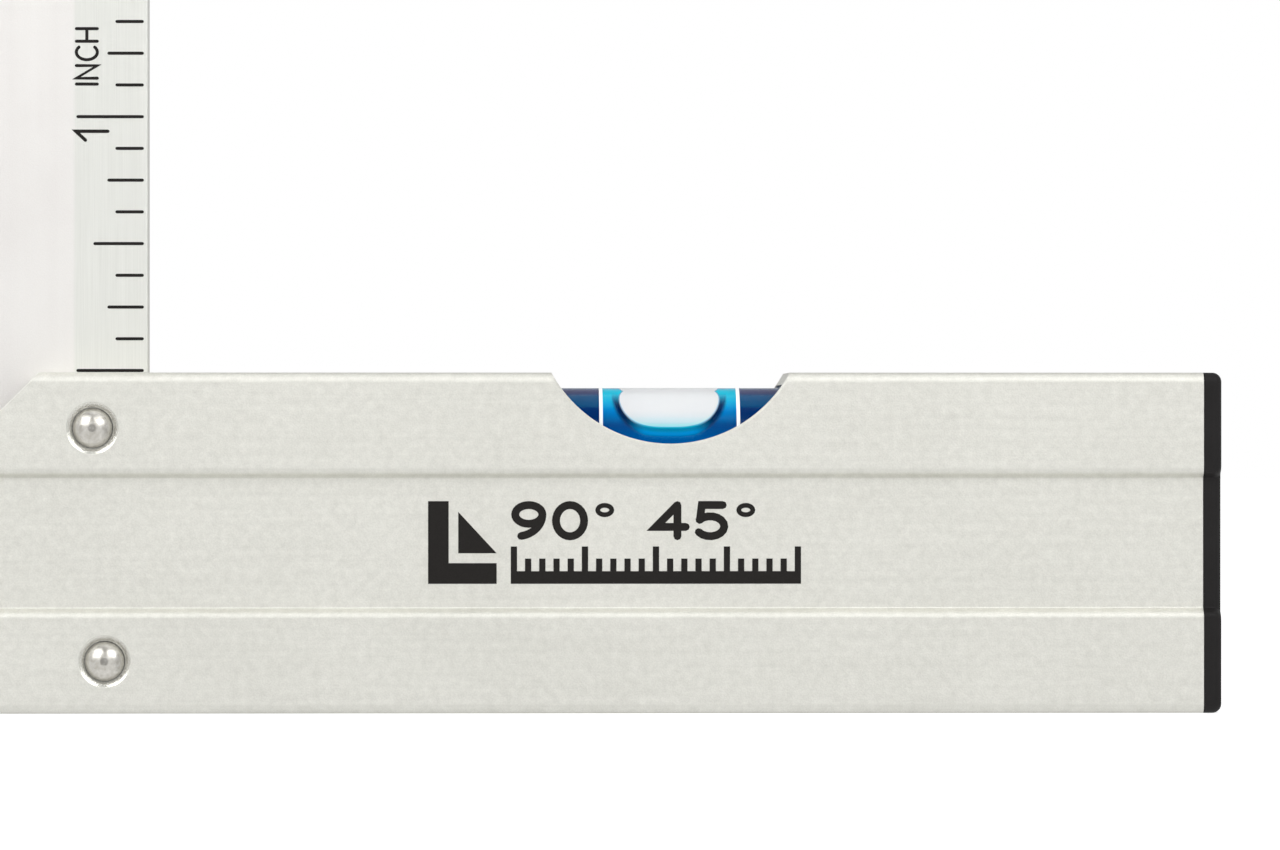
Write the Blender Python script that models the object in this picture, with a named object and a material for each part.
"""Fixed try and mitre square with a spirit level in its stock.

The stock is a hollow aluminium extrusion lying along X. The blade stands up from it along +Z,
riveted between two packers inside the stock. A level vial sits under a round window in the top
wall, on a cradle that rests on the extrusion's inner shoulders. Its bubble slides along X.

Frame: metres, +Z up along the blade, +X along the stock to its capped end, Y through the
thickness. The origin is under the middle of the whole tool, on the stock's outer edge.
"""

import math

import bmesh
import bpy
from mathutils import Matrix, Vector

MM = 0.001
GAP = 0.3 * MM  # clearance left between pieces that touch
OVERSHOOT = 5.0 * MM  # how far a cutter runs past what it cuts

# Blade: sheet aluminium, its inner edge is the datum for everything along X
BLADE_WIDTH = 45.0 * MM
BLADE_TOP = 300.0 * MM
BLADE_THICKNESS = 2.0 * MM
BLADE_EDGE_CHAMFER = 0.3 * MM

# Stock: extruded profile with a shallow recess along the middle of both sides
STOCK_LENGTH = 150.0 * MM
STOCK_HEIGHT = 33.8 * MM
STOCK_THICKNESS = 18.0 * MM
WALL = 1.2 * MM
STOCK_CORNER_RADIUS = 1.0 * MM
HOLLOW_CORNER_RADIUS = 0.5 * MM
INSET_CORNER_RADIUS = 0.3 * MM  # corners of the pieces that sit inside the hollow
CORNER_STEPS = 5
RECESS_DEPTH = 0.9 * MM
RECESS_STEP = 0.55 * MM  # height of the slope between a raised band and the recess
UPPER_BAND = 9.9 * MM  # from the stock's inner edge down to the first slope
LOWER_BAND = 9.9 * MM  # from the stock's outer edge up to the last slope
MITRE_TIP_SETBACK = 0.7 * MM  # the blade's outer edge stands this proud of the mitre's tip

# End cap: a flange over the stock's end and a hollow plug inside it
CAP_FLANGE = 1.8 * MM
CAP_FACE = 0.5 * MM  # how far the plug's hollow stops short of the stock's end
CAP_EDGE_RADIUS = 0.8 * MM
CAP_PLUG_LENGTH = 12.0 * MM
CAP_PLUG_WALL = 1.3 * MM

# Datums
WHOLE_LENGTH = STOCK_LENGTH + CAP_FLANGE
BLADE_OUTER_X = -WHOLE_LENGTH / 2
BLADE_INNER_X = BLADE_OUTER_X + BLADE_WIDTH
STOCK_END_X = BLADE_OUTER_X + STOCK_LENGTH
MITRE_TIP_X = BLADE_OUTER_X + MITRE_TIP_SETBACK
HALF_THICKNESS = STOCK_THICKNESS / 2

# Packers: moulded blocks on both sides of the blade inside the stock
PACKER_OVERHANG = 3.0 * MM  # how far they run past the blade's inner edge
PACKER_SETBACK = 1.0 * MM  # how far they stop short of the mitre

# Rivets, as distances from the blade's inner edge and from the stock's outer edge
RIVET_PLACES = {
    "rivet_upper": (5.2 * MM, 28.3 * MM),
    "rivet_lower": (4.0 * MM, 5.2 * MM),
    "rivet_outer": (31.0 * MM, 5.2 * MM),
}
RIVET_SHANK_RADIUS = 1.25 * MM
RIVET_HEAD_RADIUS = 2.0 * MM
RIVET_HEAD_HEIGHT = 1.0 * MM
RIVET_SEAT_RADIUS = 2.65 * MM
RIVET_SEAT_FLOOR_RADIUS = 2.3 * MM
RIVET_SEAT_DEPTH = 0.35 * MM
RIVET_HEAD_RINGS = 5
ROUND_SIDES = 32

# Vial: a clear tube under the top wall, seen through a window cut by a round cutter
VIAL_CENTRE_X = BLADE_INNER_X + 52.05 * MM
VIAL_RADIUS = 5.25 * MM
VIAL_BORE_RADIUS = 3.8 * MM
VIAL_LENGTH = 40.0 * MM
VIAL_END_WALL = 2.0 * MM
VIAL_PLUG_LENGTH = 3.0 * MM
VIAL_PLUG_FLANGE = 0.8 * MM
VIAL_PLUG_FLANGE_RADIUS = 4.8 * MM
VIAL_AXIS_Z = STOCK_HEIGHT - WALL - GAP - VIAL_RADIUS
WINDOW_RADIUS = 13.45 * MM
WINDOW_SIDES = 96
WINDOW_CENTRE_Z = STOCK_HEIGHT + 6.4 * MM
RING_SPACING = 13.7 * MM
RING_WIDTH = 0.4 * MM
RING_THICKNESS = 0.2 * MM
RING_GROOVE_DEPTH = 0.25 * MM
BUBBLE_LENGTH = 10.0 * MM
BUBBLE_FLOOR = 0.85 * MM  # height of the bubble's underside above the tube's axis
BUBBLE_TRAVEL = 9.0 * MM
PILL_HALF_SIZE = (BUBBLE_LENGTH / 2, 3.7 * MM, 2.2 * MM)  # the ellipsoid that rounds its ends
VIAL_SIDES = 48

# Cradle: rests on the shoulders that the recess makes inside the stock
CRADLE_LENGTH = 46.0 * MM
CRADLE_TOP_Z = STOCK_HEIGHT - 8.0 * MM
CRADLE_BOTTOM_Z = STOCK_HEIGHT - 15.0 * MM

for old in list(bpy.data.objects):
    bpy.data.objects.remove(old, do_unlink=True)


def finish_material(name, colour, roughness, metallic=0.0):
    """Makes a plain Principled material."""
    material = bpy.data.materials.new(name)
    material.use_nodes = True
    shader = material.node_tree.nodes["Principled BSDF"]
    shader.inputs["Base Color"].default_value = (*colour, 1.0)
    shader.inputs["Roughness"].default_value = roughness
    shader.inputs["Metallic"].default_value = metallic
    return material


SATIN_ALUMINIUM = finish_material("satin_aluminium", (0.72, 0.72, 0.69), 0.45, 1.0)
BRUSHED_ALUMINIUM = finish_material("brushed_aluminium", (0.82, 0.81, 0.78), 0.35, 1.0)
RIVET_METAL = finish_material("polished_rivet", (0.80, 0.79, 0.76), 0.12, 1.0)
BLACK_PLASTIC = finish_material("black_plastic", (0.03, 0.03, 0.03), 0.5)
GREY_PLASTIC = finish_material("grey_plastic", (0.25, 0.26, 0.27), 0.5)
CLEAR_ACRYLIC = finish_material("clear_acrylic", (0.90, 0.95, 1.0), 0.03)
BLUE_LIQUID = finish_material("blue_liquid", (0.0, 0.22, 0.60), 0.1)
BUBBLE_AIR = finish_material("bubble_air", (0.92, 0.96, 0.98), 0.1)
WHITE_RING = finish_material("white_ring", (0.95, 0.95, 0.95), 0.4)


def add_object(name, bm, material, smooth_angle=30.0):
    """Turns a bmesh into a named object with outward faces and smooth round sides."""
    bmesh.ops.recalc_face_normals(bm, faces=bm.faces[:])
    mesh = bpy.data.meshes.new(name)
    bm.to_mesh(mesh)
    bm.free()
    mesh.shade_smooth()
    mesh.set_sharp_from_angle(angle=math.radians(smooth_angle))
    if material is not None:
        mesh.materials.append(material)
    thing = bpy.data.objects.new(name, mesh)
    bpy.context.scene.collection.objects.link(thing)
    return thing


def add_cutter(name, bm):
    """Adds an object that only cuts others and is never part of the model."""
    cutter = add_object(name, bm, None)
    cutter.hide_render = True
    cutter.display_type = "WIRE"
    return cutter


def cut(thing, cutter, operation="DIFFERENCE"):
    """Leaves an exact Boolean on the object."""
    boolean = thing.modifiers.new(cutter.name, "BOOLEAN")
    boolean.operation = operation
    boolean.solver = "EXACT"
    boolean.object = cutter


def arc(centre, radius, start, end, steps):
    """Points on an arc in a plane, from start to end degrees, both included."""
    points = []
    for step in range(steps + 1):
        angle = math.radians(start + (end - start) * step / steps)
        across = centre[0] + radius * math.cos(angle)
        up = centre[1] + radius * math.sin(angle)
        points.append((across, up))
    return points


def fill_outline(bm, points):
    """Adds one flat face through 3-D points."""
    corners = [bm.verts.new(point) for point in points]
    return bm.faces.new(corners)


def extrude_outline(points, direction):
    """A closed prism: the outline's face swept along a vector."""
    bm = bmesh.new()
    face = fill_outline(bm, points)
    swept = bmesh.ops.extrude_face_region(bm, geom=[face], use_keep_orig=True)
    moved = [item for item in swept["geom"] if isinstance(item, bmesh.types.BMVert)]
    bmesh.ops.translate(bm, verts=moved, vec=direction)
    return bm


def block(low, high):
    """A closed box between two corners."""
    bm = bmesh.new()
    bmesh.ops.create_cube(bm, size=1.0)
    size = [high[i] - low[i] for i in range(3)]
    middle = [(high[i] + low[i]) / 2 for i in range(3)]
    bmesh.ops.scale(bm, vec=size, verts=bm.verts[:])
    bmesh.ops.translate(bm, vec=middle, verts=bm.verts[:])
    return bm


def turned(profile, turn, sides):
    """Spins a profile of (distance from axis, place along axis) round +Z, then turns it."""
    bm = bmesh.new()
    rings = []
    for radius, along in profile:
        if radius == 0.0:
            rings.append([bm.verts.new((0.0, 0.0, along))])
            continue
        ring = []
        for side in range(sides):
            angle = 2 * math.pi * side / sides
            ring.append(bm.verts.new((radius * math.cos(angle), radius * math.sin(angle), along)))
        rings.append(ring)
    for lower, upper in zip(rings, rings[1:]):
        for side in range(sides):
            after = (side + 1) % sides
            if len(lower) == 1:
                bm.faces.new((lower[0], upper[after], upper[side]))
            elif len(upper) == 1:
                bm.faces.new((lower[side], lower[after], upper[0]))
            else:
                bm.faces.new((lower[side], lower[after], upper[after], upper[side]))
    for ring, flip in ((rings[0], True), (rings[-1], False)):
        if len(ring) > 1:
            bm.faces.new(list(reversed(ring)) if flip else ring)
    bm.transform(turn)
    return bm


def along_x(x, z):
    """Turns +Z to +X and moves the start of the axis to (x, 0, z)."""
    return Matrix.Translation((x, 0.0, z)) @ Matrix.Rotation(math.radians(90), 4, "Y")


def along_y(x, z):
    """Turns +Z to +Y and moves the middle of the axis to (x, 0, z)."""
    return Matrix.Translation((x, 0.0, z)) @ Matrix.Rotation(math.radians(-90), 4, "X")


def profile_outline(inset, radius):
    """The stock's section in (y, z), moved in by inset, with its four corners rounded."""
    side = HALF_THICKNESS - inset
    recessed = side - RECESS_DEPTH
    bottom = inset
    top = STOCK_HEIGHT - inset
    slide = inset * math.tan(math.atan2(RECESS_DEPTH, RECESS_STEP) / 2)
    low_start = LOWER_BAND - slide
    low_end = LOWER_BAND + RECESS_STEP - slide
    high_start = STOCK_HEIGHT - UPPER_BAND - RECESS_STEP + slide
    high_end = STOCK_HEIGHT - UPPER_BAND + slide
    right = arc((side - radius, bottom + radius), radius, -90, 0, CORNER_STEPS)
    right += [(side, low_start), (recessed, low_end), (recessed, high_start), (side, high_end)]
    right += arc((side - radius, top - radius), radius, 0, 90, CORNER_STEPS)
    left = [(-across, up) for across, up in reversed(right)]
    return right + left


def stock_prism(inset, radius, start_x, end_x):
    """The stock's section, moved in by inset, swept from one place along X to another."""
    outline = [(start_x, across, up) for across, up in profile_outline(inset, radius)]
    return extrude_outline(outline, Vector((end_x - start_x, 0.0, 0.0)))


def mitre_wedge(setback):
    """Everything above and left of the 45 degree mitre plane, moved along X by setback."""
    tip = MITRE_TIP_X + setback
    reach = STOCK_HEIGHT + OVERSHOOT
    side = HALF_THICKNESS + OVERSHOOT
    outline = [
        (tip - OVERSHOOT, -side, -OVERSHOOT),
        (tip + reach, -side, reach),
        (tip - reach, -side, reach),
        (tip - reach, -side, -OVERSHOOT),
    ]
    return extrude_outline(outline, Vector((0.0, 2 * side, 0.0)))


# Stock: the hollow profile, mitred at the blade end, slotted for the blade and windowed
stock = add_object(
    "stock_profile",
    stock_prism(0.0, STOCK_CORNER_RADIUS, BLADE_OUTER_X, STOCK_END_X),
    SATIN_ALUMINIUM,
)
hollow_start = BLADE_OUTER_X - OVERSHOOT
hollow = add_cutter(
    "cut_hollow",
    stock_prism(WALL, HOLLOW_CORNER_RADIUS, hollow_start, STOCK_END_X + OVERSHOOT),
)
cut(stock, hollow)
mitre = add_cutter("cut_mitre", mitre_wedge(0.0))
cut(stock, mitre)
SLOT_HALF = BLADE_THICKNESS / 2 + GAP
slot = add_cutter(
    "cut_slot",
    block(
        (hollow_start, -SLOT_HALF, STOCK_HEIGHT - 2 * WALL),
        (BLADE_INNER_X + GAP, SLOT_HALF, STOCK_HEIGHT + OVERSHOOT),
    ),
)
cut(stock, slot)
window_reach = HALF_THICKNESS + OVERSHOOT
window_profile = [(WINDOW_RADIUS, -window_reach), (WINDOW_RADIUS, window_reach)]
window = add_cutter(
    "cut_window", turned(window_profile, along_y(VIAL_CENTRE_X, WINDOW_CENTRE_Z), WINDOW_SIDES)
)
cut(stock, window)


def rivet_hole(name, x, z):
    """A drilled hole through both sides of the stock, with a bevelled seat at each."""
    bore = RIVET_SHANK_RADIUS + GAP
    floor = HALF_THICKNESS - RIVET_SEAT_DEPTH
    slope = (RIVET_SEAT_RADIUS - RIVET_SEAT_FLOOR_RADIUS) / RIVET_SEAT_DEPTH
    near = [
        (RIVET_SEAT_RADIUS + slope * OVERSHOOT, -HALF_THICKNESS - OVERSHOOT),
        (RIVET_SEAT_FLOOR_RADIUS, -floor),
        (bore, -floor),
    ]
    far = [(radius, -along) for radius, along in reversed(near)]
    return add_cutter(name, turned(near + far, along_y(x, z), ROUND_SIDES))


def plain_hole(name, x, z):
    """A straight hole for a rivet's shank through the pieces inside the stock."""
    bore = RIVET_SHANK_RADIUS + GAP
    profile = [(bore, -HALF_THICKNESS), (bore, HALF_THICKNESS)]
    return add_cutter(name, turned(profile, along_y(x, z), ROUND_SIDES))


rivet_cutters = []
for rivet_name, (inward, up) in RIVET_PLACES.items():
    rivet_x = BLADE_INNER_X - inward
    cut(stock, rivet_hole("cut_seat_" + rivet_name, rivet_x, up))
    rivet_cutters.append(plain_hole("cut_hole_" + rivet_name, rivet_x, up))

# Blade: goes down through the slot to the stock's lower wall
blade_bm = block(
    (BLADE_OUTER_X, -BLADE_THICKNESS / 2, WALL + GAP),
    (BLADE_INNER_X, BLADE_THICKNESS / 2, BLADE_TOP),
)
long_edges = []
for edge in blade_bm.edges:
    ends = [vert.co for vert in edge.verts]
    if abs(ends[0].y - ends[1].y) < GAP:
        long_edges.append(edge)
bmesh.ops.bevel(
    blade_bm, geom=long_edges, offset=BLADE_EDGE_CHAMFER, segments=1, affect="EDGES"
)
blade = add_object("blade", blade_bm, BRUSHED_ALUMINIUM)
for cutter in rivet_cutters:
    cut(blade, cutter)

# Packers: fill the stock on both sides of the blade, so that the rivets clamp it
PACKER_INNER = BLADE_THICKNESS / 2 + GAP
PACKER_END_X = BLADE_INNER_X + PACKER_OVERHANG
packer_trim = add_cutter("cut_packer_mitre", mitre_wedge(PACKER_SETBACK))
for packer_name, side in (("packer_front", -1), ("packer_back", 1)):
    packer = add_object(
        packer_name,
        stock_prism(WALL + GAP, INSET_CORNER_RADIUS, MITRE_TIP_X, PACKER_END_X),
        GREY_PLASTIC,
    )
    across = sorted((side * PACKER_INNER, side * (HALF_THICKNESS + OVERSHOOT)))
    keep_low = (MITRE_TIP_X - OVERSHOOT, across[0], -OVERSHOOT)
    keep_high = (PACKER_END_X + OVERSHOOT, across[1], STOCK_HEIGHT + OVERSHOOT)
    cut(packer, add_cutter("keep_" + packer_name, block(keep_low, keep_high)), "INTERSECT")
    cut(packer, packer_trim)
    for cutter in rivet_cutters:
        cut(packer, cutter)


# Rivets: solid shanks with a domed head on each side
def rivet_profile():
    """One rivet from one head's crown to the other's."""
    seat = HALF_THICKNESS - RIVET_SEAT_DEPTH + GAP
    crown = seat + RIVET_HEAD_HEIGHT
    sphere = (RIVET_HEAD_RADIUS**2 + RIVET_HEAD_HEIGHT**2) / (2 * RIVET_HEAD_HEIGHT)
    dome = []
    for ring in range(RIVET_HEAD_RINGS):
        radius = RIVET_HEAD_RADIUS * math.sin(math.pi / 2 * ring / RIVET_HEAD_RINGS)
        dome.append((radius, crown - sphere + math.sqrt(sphere**2 - radius**2)))
    dome.append((RIVET_HEAD_RADIUS, seat))
    dome.append((RIVET_SHANK_RADIUS, seat))
    far = [(radius, -along) for radius, along in dome]
    return far + list(reversed(dome))


for rivet_name, (inward, up) in RIVET_PLACES.items():
    rivet_bm = turned(rivet_profile(), along_y(BLADE_INNER_X - inward, up), ROUND_SIDES)
    add_object(rivet_name, rivet_bm, RIVET_METAL)

# Vial tube: clear acrylic, closed at one end, grooved outside for the two rings
TUBE_START_X = VIAL_CENTRE_X - VIAL_LENGTH / 2
TUBE_END_X = VIAL_CENTRE_X + VIAL_LENGTH / 2
BORE_START_X = TUBE_START_X + VIAL_END_WALL
BORE_END_X = TUBE_END_X - VIAL_PLUG_LENGTH
GROOVE_HALF = RING_WIDTH / 2 + GAP
tube_profile = [(0.0, 0.0), (VIAL_RADIUS, 0.0)]
for ring_side in (-1, 1):
    groove = VIAL_LENGTH / 2 + ring_side * RING_SPACING / 2
    floor = VIAL_RADIUS - RING_GROOVE_DEPTH - GAP
    tube_profile += [
        (VIAL_RADIUS, groove - GROOVE_HALF),
        (floor, groove - GROOVE_HALF),
        (floor, groove + GROOVE_HALF),
        (VIAL_RADIUS, groove + GROOVE_HALF),
    ]
tube_profile += [
    (VIAL_RADIUS, VIAL_LENGTH),
    (VIAL_BORE_RADIUS, VIAL_LENGTH),
    (VIAL_BORE_RADIUS, VIAL_END_WALL),
    (0.0, VIAL_END_WALL),
]
add_object(
    "vial_tube", turned(tube_profile, along_x(TUBE_START_X, VIAL_AXIS_Z), VIAL_SIDES), CLEAR_ACRYLIC
)

# Vial plug: closes the tube's open end
plug_profile = [
    (VIAL_BORE_RADIUS - GAP, 0.0),
    (VIAL_BORE_RADIUS - GAP, VIAL_PLUG_LENGTH + GAP),
    (VIAL_PLUG_FLANGE_RADIUS, VIAL_PLUG_LENGTH + GAP),
    (VIAL_PLUG_FLANGE_RADIUS, VIAL_PLUG_LENGTH + GAP + VIAL_PLUG_FLANGE),
]
add_object(
    "vial_plug", turned(plug_profile, along_x(BORE_END_X, VIAL_AXIS_Z), VIAL_SIDES), CLEAR_ACRYLIC
)

# Rings: two white bands round the tube, the marks that the bubble is read against
for ring_name, ring_side in (("vial_ring_left", -1), ("vial_ring_right", 1)):
    outer = VIAL_RADIUS
    inner = VIAL_RADIUS - RING_THICKNESS
    ring_bm = bmesh.new()
    loops = []
    for radius, along in (
        (outer, 0.0),
        (outer, RING_WIDTH),
        (inner, RING_WIDTH),
        (inner, 0.0),
    ):
        loop = []
        for corner in range(VIAL_SIDES):
            angle = 2 * math.pi * corner / VIAL_SIDES
            place = (radius * math.cos(angle), radius * math.sin(angle), along)
            loop.append(ring_bm.verts.new(place))
        loops.append(loop)
    for number, loop in enumerate(loops):
        other = loops[(number + 1) % len(loops)]
        for corner in range(VIAL_SIDES):
            after = (corner + 1) % VIAL_SIDES
            ring_bm.faces.new((loop[corner], loop[after], other[after], other[corner]))
    ring_x = VIAL_CENTRE_X + ring_side * RING_SPACING / 2 - RING_WIDTH / 2
    ring_bm.transform(along_x(ring_x, VIAL_AXIS_Z))
    add_object(ring_name, ring_bm, WHITE_RING)


# Liquid and bubble: the liquid fills the bore but for the channel that the bubble slides in
def bore_segment(floor, radius, start_x, end_x):
    """The part of a round bar along X that lies above floor, measured from its axis."""
    edge = math.degrees(math.asin(floor / radius))
    outline = arc((0.0, VIAL_AXIS_Z), radius, edge, 180 - edge, VIAL_SIDES // 2)
    points = [(start_x, across, up) for across, up in outline]
    return extrude_outline(points, Vector((end_x - start_x, 0.0, 0.0)))


LIQUID_RADIUS = VIAL_BORE_RADIUS - GAP
liquid_profile = [(LIQUID_RADIUS, 0.0), (LIQUID_RADIUS, BORE_END_X - BORE_START_X - 2 * GAP)]
liquid_bm = turned(liquid_profile, along_x(BORE_START_X + GAP, VIAL_AXIS_Z), VIAL_SIDES)
liquid = add_object("vial_liquid", liquid_bm, BLUE_LIQUID)
CHANNEL_HALF = BUBBLE_LENGTH / 2 + BUBBLE_TRAVEL + GAP
channel = add_cutter(
    "cut_channel",
    bore_segment(
        BUBBLE_FLOOR - GAP,
        VIAL_RADIUS,
        VIAL_CENTRE_X - CHANNEL_HALF,
        VIAL_CENTRE_X + CHANNEL_HALF,
    ),
)
cut(liquid, channel)

BUBBLE_RADIUS = VIAL_BORE_RADIUS - GAP
bubble_bm = bore_segment(BUBBLE_FLOOR, BUBBLE_RADIUS, -BUBBLE_LENGTH / 2, BUBBLE_LENGTH / 2)
bmesh.ops.translate(bubble_bm, verts=bubble_bm.verts[:], vec=(0.0, 0.0, -VIAL_AXIS_Z))
bubble = add_object("vial_bubble", bubble_bm, BUBBLE_AIR)
bubble.location = (VIAL_CENTRE_X, 0.0, VIAL_AXIS_Z)
pill_bm = bmesh.new()
bmesh.ops.create_uvsphere(pill_bm, u_segments=32, v_segments=16, radius=1.0)
bmesh.ops.scale(pill_bm, vec=PILL_HALF_SIZE, verts=pill_bm.verts[:])
pill_z = VIAL_AXIS_Z + (BUBBLE_FLOOR + BUBBLE_RADIUS) / 2
bmesh.ops.translate(pill_bm, verts=pill_bm.verts[:], vec=(VIAL_CENTRE_X, 0.0, pill_z))
cut(bubble, add_cutter("keep_pill", pill_bm), "INTERSECT")

# Cradle: a moulded trough on the stock's inner shoulders that holds the tube up
SHOULDER_Z = STOCK_HEIGHT - UPPER_BAND
CRADLE_WIDE = HALF_THICKNESS - WALL - GAP
CRADLE_NARROW = CRADLE_WIDE - RECESS_DEPTH - GAP
cradle_start = VIAL_CENTRE_X - CRADLE_LENGTH / 2
cradle_outline = [
    (-CRADLE_NARROW, CRADLE_BOTTOM_Z),
    (CRADLE_NARROW, CRADLE_BOTTOM_Z),
    (CRADLE_NARROW, SHOULDER_Z + GAP / 2),
    (CRADLE_WIDE, SHOULDER_Z + RECESS_STEP + GAP),
    (CRADLE_WIDE, CRADLE_TOP_Z),
    (-CRADLE_WIDE, CRADLE_TOP_Z),
    (-CRADLE_WIDE, SHOULDER_Z + RECESS_STEP + GAP),
    (-CRADLE_NARROW, SHOULDER_Z + GAP / 2),
]
cradle = add_object(
    "vial_cradle",
    extrude_outline(
        [(cradle_start, across, up) for across, up in cradle_outline],
        Vector((CRADLE_LENGTH, 0.0, 0.0)),
    ),
    GREY_PLASTIC,
)
seat_reach = CRADLE_LENGTH / 2 + OVERSHOOT
seat_profile = [(VIAL_RADIUS + GAP, -seat_reach), (VIAL_RADIUS + GAP, seat_reach)]
seat = add_cutter(
    "cut_seat", turned(seat_profile, along_x(VIAL_CENTRE_X, VIAL_AXIS_Z), VIAL_SIDES)
)
cut(cradle, seat)

# End cap: flange with rounded outer edges, and a hollow plug that grips inside the stock
CAP_END_X = STOCK_END_X + CAP_FLANGE
flange_bm = stock_prism(0.0, STOCK_CORNER_RADIUS, STOCK_END_X + GAP, CAP_END_X)
end_edges = []
for edge in flange_bm.edges:
    if all(vert.co.x > CAP_END_X - GAP for vert in edge.verts):
        end_edges.append(edge)
bmesh.ops.bevel(
    flange_bm, geom=end_edges, offset=CAP_EDGE_RADIUS, segments=3, profile=0.5, affect="EDGES"
)
cap = add_object("end_cap", flange_bm, BLACK_PLASTIC)
plug_start = STOCK_END_X - CAP_PLUG_LENGTH
plug_inset = WALL + GAP
plug = add_cutter(
    "add_cap_plug",
    stock_prism(plug_inset, INSET_CORNER_RADIUS, plug_start, STOCK_END_X + CAP_FLANGE / 2),
)
cut(cap, plug, "UNION")
plug_hollow = add_cutter(
    "cut_cap_plug",
    stock_prism(
        plug_inset + CAP_PLUG_WALL,
        INSET_CORNER_RADIUS,
        plug_start - OVERSHOOT,
        STOCK_END_X - CAP_FACE,
    ),
)
cut(cap, plug_hollow)
